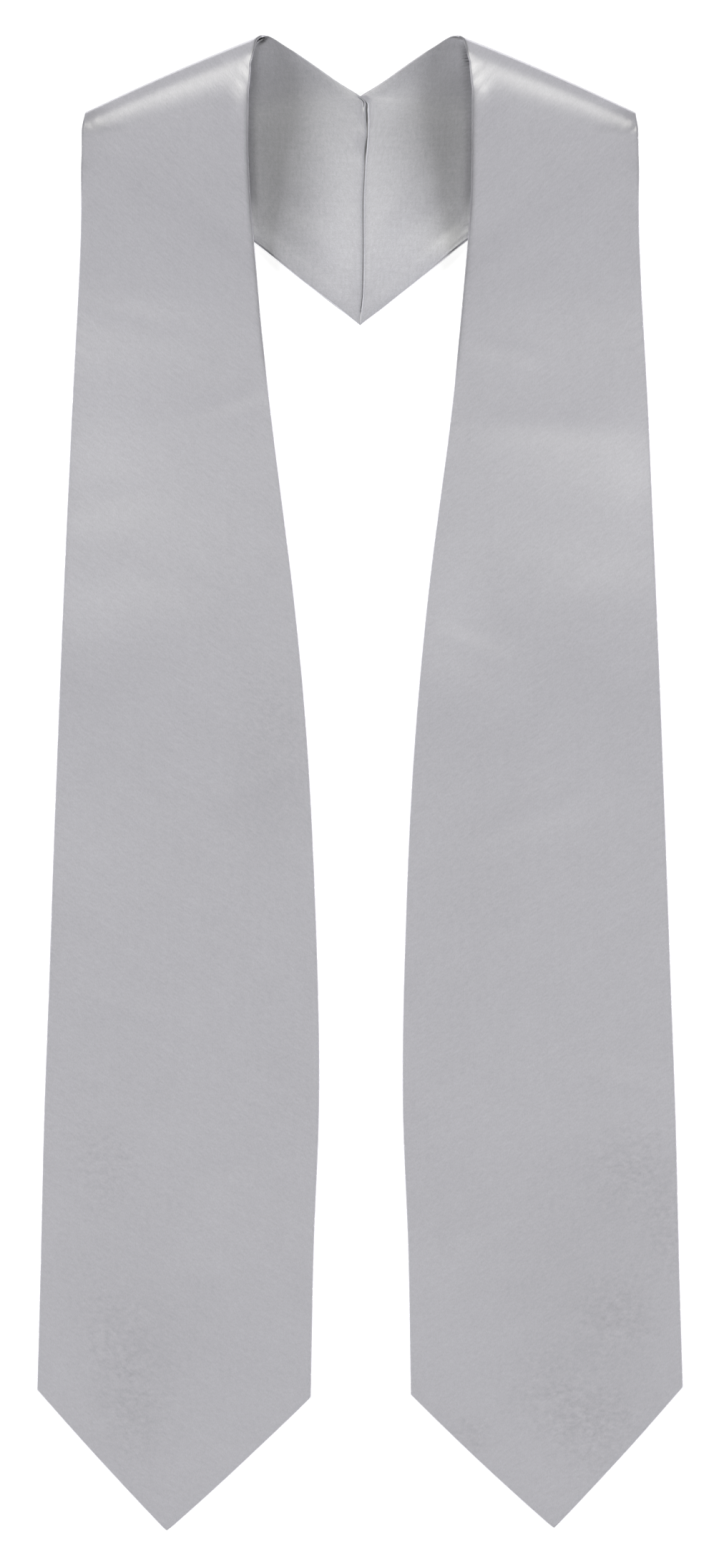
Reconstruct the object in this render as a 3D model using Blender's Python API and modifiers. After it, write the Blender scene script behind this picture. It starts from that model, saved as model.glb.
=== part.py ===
"""A graduation stole of silver-grey satin, laid out on a flat surface and folded over at both shoulders.

The stole is a lined band. Each half runs as one length of cloth from the seam at the centre of the back, over
the shoulder fold, to the point at the end of its front panel. It is cut in two layers, an outer face and a
lining. On the back the lining is on top, and on the front panels the face is.

Frame: +X is to the right of the stole as it lies, +Y towards the neck and +Z up. The origin is on the surface
that it lies on, in the middle of its length and width. Everything below describes the left half, at -X, and the
right half is its mirror image.
"""

import math

import bpy
import numpy as np

MM = 0.001

# Cloth
PLY = 1.0 * MM                  # one layer of satin with its backing
GAP = 0.3 * MM                  # between neighbouring pieces
BAND = 2 * PLY + GAP            # face and lining together
MID = BAND / 2                  # height of the band's middle where it lies on the floor

# Plan of the back, from the outline seen from above
LENGTH = 800 * MM               # neck corners to the tips of the points
NECK_CORNER = 50.5 * MM         # neck corner to the centre line
NOTCH_DROP = 32.0 * MM          # neck corner down to the top of the centre-back seam
BACK_SEAM = 122.5 * MM          # length of the centre-back seam
FOLD_ANGLE = math.radians(23.5)  # how far the shoulder fold slopes down, going outwards
FOLD_LENGTH = 105.5 * MM        # neck corner to outer corner, along the fold
CREST_INSET = 0.6 * MM          # the band's middle lies this far inside the neck corner at the crest
CREST_BOW = 1.0 * MM            # the crest bows outwards this far halfway along the fold

# Shoulder roll: the rounded fold, larger at the neck end than at the outer end
ROLL_HALF_HEIGHT = (6.2 * MM, 3.2 * MM)    # at the neck, at the outer corner
ROLL_TOP_REACH = (26.0 * MM, 12.0 * MM)    # from the crest back to the roll's highest line
ROLL_BACK_REACH = (40.0 * MM, 18.0 * MM)   # from the crest back to where the back band touches the floor
FALL = (140.0 * MM, 95.0 * MM)             # down the front, from the highest line to where the panel lies flat

# How far the edges move along the fold for each unit of cloth that passes over it
BACK_SLANT = (0.675, 0.607)     # neck edge, outer edge
FRONT_SLANT = (0.627, 0.48)
NECK_JOG = 4.4 * MM             # the neck edge steps outwards where it passes over the crest
JOG_SPAN = 0.20                 # share of the roll on each side of the crest that the step takes

# The front panel steps down off the back band's lower edge
STEP_START = 1.0 * MM
STEP_RUN = 16.0 * MM

# Front panel edges: millimetres down from the neck corner, millimetres out from the centre line
NECK_EDGE = (
    # down, out
    (62, 59.8),
    (96, 58.6),
    (134, 55.3),
    (190, 49.8),
    (302, 35.8),
    (394, 27.9),
    (486, 23.9),
    (572, 22.4),
    (650, 25.2),
    (728, 26.7),
)
OUTER_EDGE = (
    # down, out
    (70, 149.3),
    (110, 149.8),
    (211, 154.5),
    (394, 162.6),
    (578, 169.4),
    (724, 173.3),
)
POINT_TIP = 103.6 * MM          # tip of the point to the centre line
POINT_RISE = 170.0 * MM         # how far up the panel the rows start to bend towards the point

# Mesh steps
BACK_ROWS = 5
ROLL_ROWS = 14                  # on each half of the roll
FALL_ROWS = 18
STEP_ROWS = 6
PANEL_ROWS = 10
STEP_REACH = 30.0 * MM          # the part of the panel below the fall that needs close rows
HALF_COLUMNS = 6                # on each side of the point's tip

SATIN = (0.44, 0.445, 0.47)
LINING = (0.42, 0.425, 0.45)


def blend(share):
    """A smooth step from 0 to 1 with level ends."""
    share = np.clip(share, 0, 1)
    return share * share * (3 - 2 * share)


def curve_through(table, down):
    """Distance out from the centre line at a distance down, on a smooth curve through the table's rows."""
    rows = np.array(table, float) * MM
    slopes = np.gradient(rows[:, 1], rows[:, 0])
    at = np.clip(np.searchsorted(rows[:, 0], down) - 1, 0, len(rows) - 2)
    step = rows[at + 1, 0] - rows[at, 0]
    share = (down - rows[at, 0]) / step
    rise = blend(share)
    bow = share * (1 - share) * step
    return (
        rows[at, 1] * (1 - rise)
        + rows[at + 1, 1] * rise
        + slopes[at] * bow * (1 - share)
        - slopes[at + 1] * bow * share
    )


def plan_point(along, depth):
    """Plan position of a point given along the fold from the neck corner, and in depth behind its crest."""
    x = -NECK_CORNER - along * math.cos(FOLD_ANGLE) + depth * math.sin(FOLD_ANGLE)
    y = LENGTH / 2 - along * math.sin(FOLD_ANGLE) - depth * math.cos(FOLD_ANGLE)
    return np.array([x, y])


def along_fold(x, y):
    """How far along the fold a plan position lies, from the neck corner outwards."""
    return -(x + NECK_CORNER) * math.cos(FOLD_ANGLE) - (y - LENGTH / 2) * math.sin(FOLD_ANGLE)


def taper(ends, along):
    """A size that changes evenly from the neck end of the fold to its outer end."""
    return ends[0] + (ends[1] - ends[0]) * along / FOLD_LENGTH


def quarter_arc(reach, height, turn, steps=24):
    """Length of cloth from the crest to a turn of the roll, on a quarter ellipse."""
    angles = np.linspace(0, abs(turn) * math.pi / 2, steps + 1)
    run = reach * (1 - np.cos(angles))
    rise = height * np.sin(angles)
    return float(np.hypot(np.diff(run), np.diff(rise)).sum())


def roll_edge(turn, start, side):
    """Plan position of an edge on the roll. turn is -1 on the floor, 0 at the crest and 1 on the highest line."""
    reaches, slants = (ROLL_TOP_REACH, FRONT_SLANT) if turn > 0 else (ROLL_BACK_REACH, BACK_SLANT)
    reach = reaches[side]
    for _ in range(4):          # the reach there depends on how far along the fold the edge has moved
        arc = quarter_arc(reach, ROLL_HALF_HEIGHT[side], turn)
        along = start + math.copysign(arc, turn) * slants[side]
        reach = taper(reaches, along)
    return plan_point(along, CREST_INSET + reach * (1 - math.cos(turn * math.pi / 2)))


def neck_edge_on_roll(turn):
    jog = NECK_JOG * float(blend((turn + JOG_SPAN) / (2 * JOG_SPAN)))
    return roll_edge(turn, jog, 0)


def outer_edge_on_roll(turn):
    return roll_edge(turn, FOLD_LENGTH, 1)


def panel_edge(table, top, down):
    """Plan position of a front panel's edge, on a smooth curve from the roll down through the table."""
    joined = ((-top[1] / MM + LENGTH / 2 / MM, -top[0] / MM), *table)
    return np.array([-curve_through(joined, down), LENGTH / 2 - down])


def rows_across():
    """Each row across the band, from the centre-back seam to the point: the turn of the roll, counted on down
    the fall to 2, the two edge points and the share of the point's shape that it takes."""
    notch = np.array([-GAP / 2, LENGTH / 2 - NOTCH_DROP])
    back_tip = notch - (0, BACK_SEAM)
    rows = []
    for step in range(BACK_ROWS):
        share = step / BACK_ROWS
        inner = notch + (neck_edge_on_roll(-1) - notch) * share
        outer = back_tip + (outer_edge_on_roll(-1) - back_tip) * share
        rows.append((-1, inner, outer, 0))
    for step in range(-ROLL_ROWS, ROLL_ROWS):
        turn = step / ROLL_ROWS
        rows.append((turn, neck_edge_on_roll(turn), outer_edge_on_roll(turn), 0))
    tops = (neck_edge_on_roll(1), outer_edge_on_roll(1))
    tables = (NECK_EDGE, OUTER_EDGE)
    starts = [LENGTH / 2 - top[1] for top in tops]
    ends = [table[-1][0] * MM for table in tables]
    falls = [start + fall for start, fall in zip(starts, FALL)]
    stops = [
        *((1 + step / FALL_ROWS, step / FALL_ROWS, 0) for step in range(FALL_ROWS)),
        *((2, 0, STEP_REACH * step / STEP_ROWS) for step in range(STEP_ROWS)),
    ]
    for turn, fallen, below in stops:
        downs = [
            start + (fall - start) * fallen if turn < 2 else fall + below
            for start, fall in zip(starts, falls)
        ]
        rows.append((turn, *(panel_edge(*edge) for edge in zip(tables, tops, downs)), 0))
    for step in range(PANEL_ROWS + 1):
        share = step / PANEL_ROWS
        downs = [fall + STEP_REACH + (end - fall - STEP_REACH) * share for fall, end in zip(falls, ends)]
        left = (ends[0] - downs[0]) / POINT_RISE
        rows.append((2, *(panel_edge(*edge) for edge in zip(tables, tops, downs)), max(0, 1 - left)))
    return rows


def shares_across():
    """Shares of the width for the columns, from the neck edge to the outer edge, with one at the tip."""
    inner, outer = (table[-1][1] * MM for table in (NECK_EDGE, OUTER_EDGE))
    tip = (POINT_TIP - inner) / (outer - inner)
    halves = np.linspace(0, 1, HALF_COLUMNS + 1)
    return np.concatenate([tip * halves, tip + (1 - tip) * halves[1:]]), tip


def lying_height(x, y):
    """Height of the front panel's middle where it lies: on the back band, or below its lower edge on the floor."""
    back_tip = LENGTH / 2 - NOTCH_DROP - BACK_SEAM
    corner = plan_point(FOLD_LENGTH, 0)
    run = math.hypot(corner[0], corner[1] - back_tip)
    beyond = -(x * (corner[1] - back_tip) - (y - back_tip) * corner[0]) / run
    return MID + (BAND + GAP) * (1 - blend((beyond - STEP_START) / STEP_RUN))


def middle_surface():
    """Points of the surface between face and lining, a row across the band at a time."""
    shares, tip = shares_across()
    corners_down = NECK_EDGE[-1][0] * MM * (1 - tip) + OUTER_EDGE[-1][0] * MM * tip
    drop = np.minimum(shares / tip, (1 - shares) / (1 - tip)) * (LENGTH - corners_down)
    surface = []
    for turn, inner, outer, point in rows_across():
        bow = 4 * CREST_BOW * shares * (1 - shares) * math.cos(min(turn, 1) * math.pi / 2)
        x = inner[0] + (outer[0] - inner[0]) * shares - bow * math.sin(FOLD_ANGLE)
        y = inner[1] + (outer[1] - inner[1]) * shares + bow * math.cos(FOLD_ANGLE) - drop * point
        half_height = taper(ROLL_HALF_HEIGHT, along_fold(x, y))
        if turn <= 1:
            z = MID + half_height * (1 + math.sin(turn * math.pi / 2))
        else:
            lying = lying_height(x, y)
            z = lying + (MID + 2 * half_height - lying) * (1 - blend(turn - 1))
        surface.append(np.stack([x, y, z], axis=1))
    return np.array(surface)


def normals_of(surface):
    """Unit normals of a grid of points, towards the face's side."""
    down_band = np.gradient(surface, axis=0)
    across = np.gradient(surface, axis=1)
    normals = np.cross(across, down_band)
    return normals / np.linalg.norm(normals, axis=2, keepdims=True)


def satin(name, colour):
    material = bpy.data.materials.new(name)
    material.use_nodes = True
    shader = material.node_tree.nodes["Principled BSDF"]
    shader.inputs["Base Color"].default_value = (*colour, 1)
    shader.inputs["Roughness"].default_value = 0.42
    shader.inputs["Metallic"].default_value = 0.0
    return material


def add_ply(name, surface, side, mirrored, material, collection):
    """One layer of cloth. side is 1 for the face and -1 for the lining, out from the middle surface."""
    points = surface + normals_of(surface) * side * GAP / 2
    if mirrored:
        points = points * (-1, 1, 1)
    rows, columns = points.shape[:2]
    corners = [
        (row * columns + column, row * columns + column + 1, (row + 1) * columns + column + 1,
         (row + 1) * columns + column)
        for row in range(rows - 1)
        for column in range(columns - 1)
    ]
    if mirrored:
        corners = [face[::-1] for face in corners]
    mesh = bpy.data.meshes.new(name)
    mesh.from_pydata(points.reshape(-1, 3).tolist(), [], corners)
    mesh.materials.append(material)
    mesh.shade_smooth()
    ply = bpy.data.objects.new(name, mesh)
    collection.objects.link(ply)
    wall = ply.modifiers.new("wall", "SOLIDIFY")
    wall.thickness = PLY
    wall.offset = side
    return ply


def build():
    for leftover in list(bpy.data.objects):
        bpy.data.objects.remove(leftover)
    collection = bpy.data.collections.new("graduation_stole")
    bpy.context.scene.collection.children.link(collection)
    face = satin("face_satin", SATIN)
    lining = satin("lining_satin", LINING)
    surface = middle_surface()
    for half, mirrored in (("left", False), ("right", True)):
        add_ply(f"face_{half}", surface, 1, mirrored, face, collection)
        add_ply(f"lining_{half}", surface, -1, mirrored, lining, collection)


build()
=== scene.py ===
# %% [markdown]
# # A graduation stole in silver-grey satin, laid out flat
# A stole is a lined band of satin. Each half is cut as one long piece that runs from the seam at the
# centre of the back, over the shoulder, to a point at the end of its front panel. Here the stole lies on
# a pale table with both shoulders folded over, so the lining shows on the back and the face shows on the
# front panels.
#
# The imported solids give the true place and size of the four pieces. This script dresses them: it makes
# each piece again as a fine thin shell of cloth on the same pattern, then gives it satin, soft light and
# a camera.

# %% The frame
import math

import bpy
import numpy as np
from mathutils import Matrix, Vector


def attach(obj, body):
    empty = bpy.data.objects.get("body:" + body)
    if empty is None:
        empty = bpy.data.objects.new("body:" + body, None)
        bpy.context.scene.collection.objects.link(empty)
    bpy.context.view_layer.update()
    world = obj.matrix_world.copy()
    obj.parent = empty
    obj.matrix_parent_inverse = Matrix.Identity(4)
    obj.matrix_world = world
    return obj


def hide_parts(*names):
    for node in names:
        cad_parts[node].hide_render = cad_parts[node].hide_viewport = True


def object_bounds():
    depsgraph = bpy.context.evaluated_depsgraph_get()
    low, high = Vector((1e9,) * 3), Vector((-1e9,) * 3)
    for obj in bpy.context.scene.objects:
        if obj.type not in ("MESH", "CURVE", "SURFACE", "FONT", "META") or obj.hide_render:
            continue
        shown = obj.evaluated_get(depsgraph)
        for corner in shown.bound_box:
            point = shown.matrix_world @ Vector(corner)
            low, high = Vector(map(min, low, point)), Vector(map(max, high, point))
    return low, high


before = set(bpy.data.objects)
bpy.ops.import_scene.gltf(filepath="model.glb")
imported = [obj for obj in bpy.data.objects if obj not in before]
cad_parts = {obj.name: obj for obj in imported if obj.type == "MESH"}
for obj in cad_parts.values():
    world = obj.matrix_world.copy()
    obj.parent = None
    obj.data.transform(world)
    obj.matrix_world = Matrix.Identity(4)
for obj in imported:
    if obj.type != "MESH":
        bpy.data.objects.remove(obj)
cad_box = [list(corner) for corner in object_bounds()]
print("solids to dress:", ", ".join(sorted(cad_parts)))

# %% [markdown]
# ## Sizes
# Lengths are in metres, so a millimetre has a name. The plan is the pattern of the stole as it lies, seen
# from above. The left half is described, and the right half is its mirror image. "Along" runs along the
# shoulder fold, outwards from the neck corner. "Out" is measured from the centre line and "down" from the
# neck corners.

# %% Cloth and pattern
MM = 0.001
PLY_OUT = 1.15 * MM  # from the middle of the band to the outer surface of face or lining
WALL = 0.5 * MM  # thickness of one layer of satin with its backing
SEAM_IN = 0.03 * MM  # how close the layers come at a sewn edge
SEAM_OUT = 0.28 * MM
BAND = 2 * PLY_OUT
LAYER_GAP = 0.3 * MM  # between the front panel and the back band that it lies on

LENGTH = -2 * cad_box[0][1]  # the points reach half a length below the origin
NECK_CORNER = 50.5 * MM
NOTCH_DROP = 32.0 * MM  # neck corner down to the top of the centre-back seam
BACK_SEAM = 122.5 * MM
FOLD_ANGLE = math.radians(23.5)
FOLD_LENGTH = 105.5 * MM
CREST_INSET = 0.6 * MM  # the crest's ends lie this far behind the line of the fold
CREST_BOW = 1.0 * MM  # and its middle bows out again by this much

# Each pair is for the neck edge and the outer edge.
ROLL_HALF_HEIGHT = (6.2 * MM, 3.2 * MM)
ROLL_TOP_REACH = (26.0 * MM, 12.0 * MM)  # in plan, from the crest to the highest line
ROLL_BACK_REACH = (40.0 * MM, 18.0 * MM)  # and from the crest to where the back leaves the table
FALL = (160.0 * MM, 112.0 * MM)  # from the highest line to where the panel lies flat
BACK_SLANT = (0.675, 0.607)  # how far an edge runs along the fold for each length round the roll
FRONT_SLANT = (0.627, 0.48)

NECK_JOG = 4.4 * MM  # the front's neck edge starts this much further along than the back's
JOG_SPAN = 0.20  # the turn of the roll that this takes, on each side of the crest
STEP_START = 1.0 * MM  # the panel starts to step down this far past the back's lower edge
STEP_RUN = 16.0 * MM  # and lies on the table after this much more
STEP_REACH = 30.0 * MM  # rows stay close together over this length below the fall

NECK_EDGE = (
    # down, out
    (62, 59.8),
    (96, 58.6),
    (134, 55.3),
    (190, 49.8),
    (302, 35.8),
    (394, 27.9),
    (486, 23.9),
    (572, 22.4),
    (650, 25.2),
    (728, 26.7),
)
OUTER_EDGE = (
    # down, out
    (70, 149.3),
    (110, 149.8),
    (211, 154.5),
    (394, 162.6),
    (578, 169.4),
    (724, 173.3),
)
POINT_TIP = 103.6 * MM
POINT_RISE = 170.0 * MM
TIP_ROUND = 0.5 * MM  # a turned point is never quite sharp
END_BOW = (1.3 * MM, 0.8 * MM)  # the slanted ends bulge a little: on the neck side, on the outer side
print(f"pattern: {LENGTH / MM:.0f} mm long as it lies, back seam {BACK_SEAM / MM:.1f} mm")

# %% [markdown]
# ## The middle of the band
# Everything hangs on one surface, the middle of the band between face and lining. It is a grid: a row
# goes across the band, and the rows follow each other along it, from the centre-back seam over the
# shoulder roll to the point. A grid of formulas was chosen over a cloth simulation because the stole lies
# still and almost flat, and its few soft folds have places that can simply be stated.
#
# The roll is a half ellipse: `turn` is -1 where the back leaves the table, 0 at the crest and 1 on the
# highest line. From there to 2 the front panel falls back down until it lies flat.

# %% Curves
def blend(share):
    """A smooth step from 0 to 1 with level ends."""
    share = np.clip(share, 0, 1)
    return share * share * (3 - 2 * share)


def curve_through(table, at):
    """A smooth curve through the rows of a table of two columns in millimetres."""
    rows = np.array(table, float) * MM
    slopes = np.gradient(rows[:, 1], rows[:, 0])
    first = np.clip(np.searchsorted(rows[:, 0], at) - 1, 0, len(rows) - 2)
    step = rows[first + 1, 0] - rows[first, 0]
    share = np.clip((at - rows[first, 0]) / step, 0, 1)
    rise = blend(share)
    bow = share * (1 - share) * step
    return (
        rows[first, 1] * (1 - rise)
        + rows[first + 1, 1] * rise
        + slopes[first] * bow * (1 - share)
        - slopes[first + 1] * bow * share
    )


print("a smooth step:", blend(np.linspace(0, 1, 5)).round(2))


# %% Places on the shoulder fold
def plan_point(along, depth):
    """Plan position at a distance along the fold and a depth behind its crest."""
    x = -NECK_CORNER - along * math.cos(FOLD_ANGLE) + depth * math.sin(FOLD_ANGLE)
    y = LENGTH / 2 - along * math.sin(FOLD_ANGLE) - depth * math.cos(FOLD_ANGLE)
    return np.array([x, y])


def along_fold(x, y):
    return -(x + NECK_CORNER) * math.cos(FOLD_ANGLE) - (y - LENGTH / 2) * math.sin(FOLD_ANGLE)


def taper(ends, along):
    """A size that changes evenly from the neck end of the fold to its outer end."""
    return ends[0] + (ends[1] - ends[0]) * along / FOLD_LENGTH


def quarter_arc(reach, height, turn, steps=24):
    """Length of cloth from the crest to a turn of the roll."""
    angles = np.linspace(0, abs(turn) * math.pi / 2, steps + 1)
    run = reach * (1 - np.cos(angles))
    rise = height * np.sin(angles)
    return float(np.hypot(np.diff(run), np.diff(rise)).sum())


def roll_edge(turn, start, side):
    """Plan position on the roll of the neck edge (side 0) or the outer edge (side 1)."""
    reaches, slants = (ROLL_TOP_REACH, FRONT_SLANT) if turn > 0 else (ROLL_BACK_REACH, BACK_SLANT)
    reach = reaches[side]
    for _ in range(4):  # the reach depends on how far along the fold the edge has moved
        arc = quarter_arc(reach, ROLL_HALF_HEIGHT[side], turn)
        along = start + math.copysign(arc, turn) * slants[side]
        reach = taper(reaches, along)
    return plan_point(along, CREST_INSET + reach * (1 - math.cos(turn * math.pi / 2)))


def edges_on_roll(turn):
    jog = NECK_JOG * float(blend((turn + JOG_SPAN) / (2 * JOG_SPAN)))
    return roll_edge(turn, jog, 0), roll_edge(turn, FOLD_LENGTH, 1)


def panel_edge(table, top, down):
    """Plan position of a front panel's edge, on a smooth curve from the roll down through the table."""
    joined = ((-top[1] / MM + LENGTH / 2 / MM, -top[0] / MM), *table)
    return np.array([-curve_through(joined, down), LENGTH / 2 - down])


print("ends of the left crest, mm:", *[(end / MM).round(1) for end in edges_on_roll(0)])


# %% Rows and columns of the grid
BACK_ROWS = 84
ROLL_ROWS = 34  # on each half of the roll
FALL_ROWS = 54
STEP_ROWS = 16
PANEL_ROWS = 210
HALF_COLUMNS = 33  # on each side of the point's tip
CLOSER_AT_SEAM = 1.6  # rows crowd towards the centre-back seam and the point
CLOSER_AT_POINT = 1.5


def rows_across():
    """Each row: the turn, its two ends in plan, and the share of the point's shape that it takes."""
    notch = np.array([0, LENGTH / 2 - NOTCH_DROP])
    back_tip = notch - (0, BACK_SEAM)
    neck_start, outer_start = edges_on_roll(-1)
    rows = []
    for step in range(BACK_ROWS):
        share = (step / BACK_ROWS) ** CLOSER_AT_SEAM
        inner = notch + (neck_start - notch) * share
        outer = back_tip + (outer_start - back_tip) * share
        rows.append((-1, inner, outer, 0))
    for step in range(-ROLL_ROWS, ROLL_ROWS):
        rows.append((step / ROLL_ROWS, *edges_on_roll(step / ROLL_ROWS), 0))
    tops = edges_on_roll(1)
    tables = (NECK_EDGE, OUTER_EDGE)
    starts = [LENGTH / 2 - top[1] for top in tops]
    falls = [start + fall for start, fall in zip(starts, FALL)]
    ends = [table[-1][0] * MM for table in tables]
    stops = [(1 + step / FALL_ROWS, step / FALL_ROWS, 0) for step in range(FALL_ROWS)]
    stops += [(2, 1, STEP_REACH * step / STEP_ROWS) for step in range(STEP_ROWS)]
    for turn, fallen, below in stops:
        downs = [start + (fall - start) * fallen + below for start, fall in zip(starts, falls)]
        rows.append((turn, *(panel_edge(*edge) for edge in zip(tables, tops, downs)), 0))
    for step in range(PANEL_ROWS + 1):
        share = 1 - (1 - step / PANEL_ROWS) ** CLOSER_AT_POINT
        downs = [fall + STEP_REACH + (end - fall - STEP_REACH) * share for fall, end in zip(falls, ends)]
        point = max(0, 1 - (ends[0] - downs[0]) / POINT_RISE)
        rows.append((2, *(panel_edge(*edge) for edge in zip(tables, tops, downs)), point))
    return rows


def shares_across():
    """Shares of the width for the columns: close at both edges, and one column runs to the tip."""
    inner, outer = (table[-1][1] * MM for table in (NECK_EDGE, OUTER_EDGE))
    tip = (POINT_TIP - inner) / (outer - inner)
    half = 1 - np.cos(np.linspace(0, math.pi / 2, HALF_COLUMNS + 1))
    return np.concatenate([tip * half, 1 - (1 - tip) * half[-2::-1]]), tip


rows = rows_across()
turns = np.array([row[0] for row in rows], float)[:, None]
print(f"grid: {len(rows)} rows of {len(shares_across()[0])} points")

# %% [markdown]
# ## Soft lifts
# Satin with a backing never lies quite flat. The panels rise in a few long low humps, at most about two
# millimetres high and a hand wide, which show only as lighter slopes. They could be drawn with a
# sculpting brush, but a formula can be changed later. Each hump is a row of a table, and the same
# function serves the smaller folds.

# %% Humps
LIFTS = {
    "left": (
        # out, down, degrees from straight across, half length, half width, height
        (100, 168, 5, 90, 30, 0.6),
        (136, 322, 16, 66, 44, 1.9),
        (146, 232, 8, 26, 20, 0.35),
        (142, 268, 10, 40, 24, 0.75),
        (62, 372, -24, 50, 40, 0.4),
        (104, 470, 12, 80, 52, 0.4),
        (138, 610, -14, 60, 40, 0.3),
        (80, 668, 22, 70, 38, 0.4),
    ),
    "right": (
        (96, 164, -3, 90, 30, 0.6),
        (134, 246, 13, 70, 24, 0.42),
        (132, 312, 12, 72, 60, 2.3),
        (50, 350, 38, 32, 24, 0.7),
        (92, 452, -10, 80, 50, 0.4),
        (152, 596, 18, 50, 36, 0.4),
        (88, 676, -18, 66, 40, 0.3),
    ),
}


def soft_fold(out, down, middle_out, middle_down, degrees, half_length, half_width, height):
    """Height of one soft ridge, or of a trough if the height is negative."""
    cosine, sine = math.cos(math.radians(degrees)), math.sin(math.radians(degrees))
    across = (out - middle_out * MM) * cosine + (down - middle_down * MM) * sine
    up = (down - middle_down * MM) * cosine - (out - middle_out * MM) * sine
    return height * MM * np.exp(-(across / (half_length * MM)) ** 2 - (up / (half_width * MM)) ** 2)


def folds(table, out, down):
    return sum(soft_fold(out, down, *fold) for fold in table)


print("humps:", {half: len(table) for half, table in LIFTS.items()})


# %% Height of the band's middle
def lying_height(x, y):
    """Height where the front panel lies: on the back band, or below its lower edge on the table."""
    back_tip = LENGTH / 2 - NOTCH_DROP - BACK_SEAM
    corner = plan_point(FOLD_LENGTH, 0)
    run = math.hypot(corner[0], corner[1] - back_tip)
    beyond = -(x * (corner[1] - back_tip) - (y - back_tip) * corner[0]) / run
    return PLY_OUT + (BAND + LAYER_GAP) * (1 - blend((beyond - STEP_START) / STEP_RUN))


LIFT_START = (70 * MM, 200 * MM)  # the humps begin where the panel comes down on the table
BACK_RISE = (
    # the back arches a little between the shoulders, and again towards its lower corner
    (0, 135, 0, 34, 85, 1.9),
    (0, 152, 0, 60, 45, 0.7),
)
RISE_END = -1 / 3  # by this turn of the roll the back's own rise has faded out
SOFT_FOOT = 2.5  # the panel comes down steeply at first and settles slowly


def still_up(fallen):
    """Share of the roll's height that a panel still has after a share of its way down: 1 to 0."""
    fallen = np.clip(fallen, 0, 1)
    return (1 - fallen) ** SOFT_FOOT * (1 + SOFT_FOOT * fallen)


def middle_surface(half):
    """Points of the surface between face and lining, a row across the band at a time."""
    shares, tip = shares_across()
    corners_down = NECK_EDGE[-1][0] * MM * (1 - tip) + OUTER_EDGE[-1][0] * MM * tip
    peak = LENGTH - corners_down
    to_tip = np.minimum(shares / tip, (1 - shares) / (1 - tip))
    drop = peak * (1 - np.hypot(1 - to_tip, TIP_ROUND / peak * to_tip))
    drop = drop + 4 * np.where(shares < tip, *END_BOW) * to_tip * (1 - to_tip)
    surface = []
    for turn, inner, outer, point in rows:
        bow = 4 * CREST_BOW * shares * (1 - shares) * math.cos(min(turn, 1) * math.pi / 2)
        x = inner[0] + (outer[0] - inner[0]) * shares - bow * math.sin(FOLD_ANGLE)
        y = inner[1] + (outer[1] - inner[1]) * shares + bow * math.cos(FOLD_ANGLE) - drop * point
        half_height = taper(ROLL_HALF_HEIGHT, along_fold(x, y))
        down = LENGTH / 2 - y
        if turn <= 1:
            z = PLY_OUT + half_height * (1 + math.sin(turn * math.pi / 2))
            z = z + folds(BACK_RISE, -x, down) * float(blend((turn - RISE_END) / (-1 - RISE_END)))
        else:
            lying = lying_height(x, y)
            settled = blend((down - LIFT_START[0]) / (LIFT_START[1] - LIFT_START[0]))
            z = lying + (PLY_OUT + 2 * half_height - lying) * still_up(turn - 1)
            z = z + settled * folds(LIFTS[half], -x, down)
        surface.append(np.stack([x, y, z], axis=1))
    return np.array(surface)


left_middle = middle_surface("left")
print(f"the left half's middle reaches {left_middle[..., 2].max() / MM:.1f} mm above the table")

# %% [markdown]
# ## Measuring on the cloth
# Sewn edges pull in, and a pucker sits so many millimetres along an edge. So every point of the grid
# needs its distance from each edge, measured on the cloth: the lengths of the grid's own steps are added
# up.

# %% Distances on the grid
END_SLANT = math.radians(45)  # the slanted ends stand at about this angle to the band


def steps_added(points, axis):
    """Distance on the cloth from the grid's first row or column."""
    lengths = np.linalg.norm(np.diff(points, axis=axis), axis=2)
    start = np.zeros_like(np.take(lengths, [0], axis=axis))
    return np.concatenate([start, np.cumsum(lengths, axis=axis)], axis=axis)


def normals_of(surface):
    """Unit normals of the grid, towards the face's side."""
    normals = np.cross(np.gradient(surface, axis=1), np.gradient(surface, axis=0))
    return normals / np.linalg.norm(normals, axis=2, keepdims=True)


def measure_grid(surface):
    across = steps_added(surface, 1)
    along = steps_added(surface, 0)
    return {
        "out": -surface[..., 0],
        "down": LENGTH / 2 - surface[..., 1],
        "neck": across,
        "outer": across[:, -1:] - across,
        "end": (along[-1:] - along) * math.cos(END_SLANT),
        "along": along,
        "turn": np.broadcast_to(turns, across.shape),
    }


lengths = measure_grid(left_middle)["along"][-1] / MM
print(f"on the cloth, the left half is {lengths.min():.0f} to {lengths.max():.0f} mm long")

# %% [markdown]
# ## The centre-back seam
# The two halves meet in a seam that wanders a little to the right of the centre at the top, as a
# pressed-open seam does when the band is pulled flat. The left lining slopes softly down into it, and the
# right one rolls over it more sharply. Just under the neckline the left half has a short pucker beside
# the seam.

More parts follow.
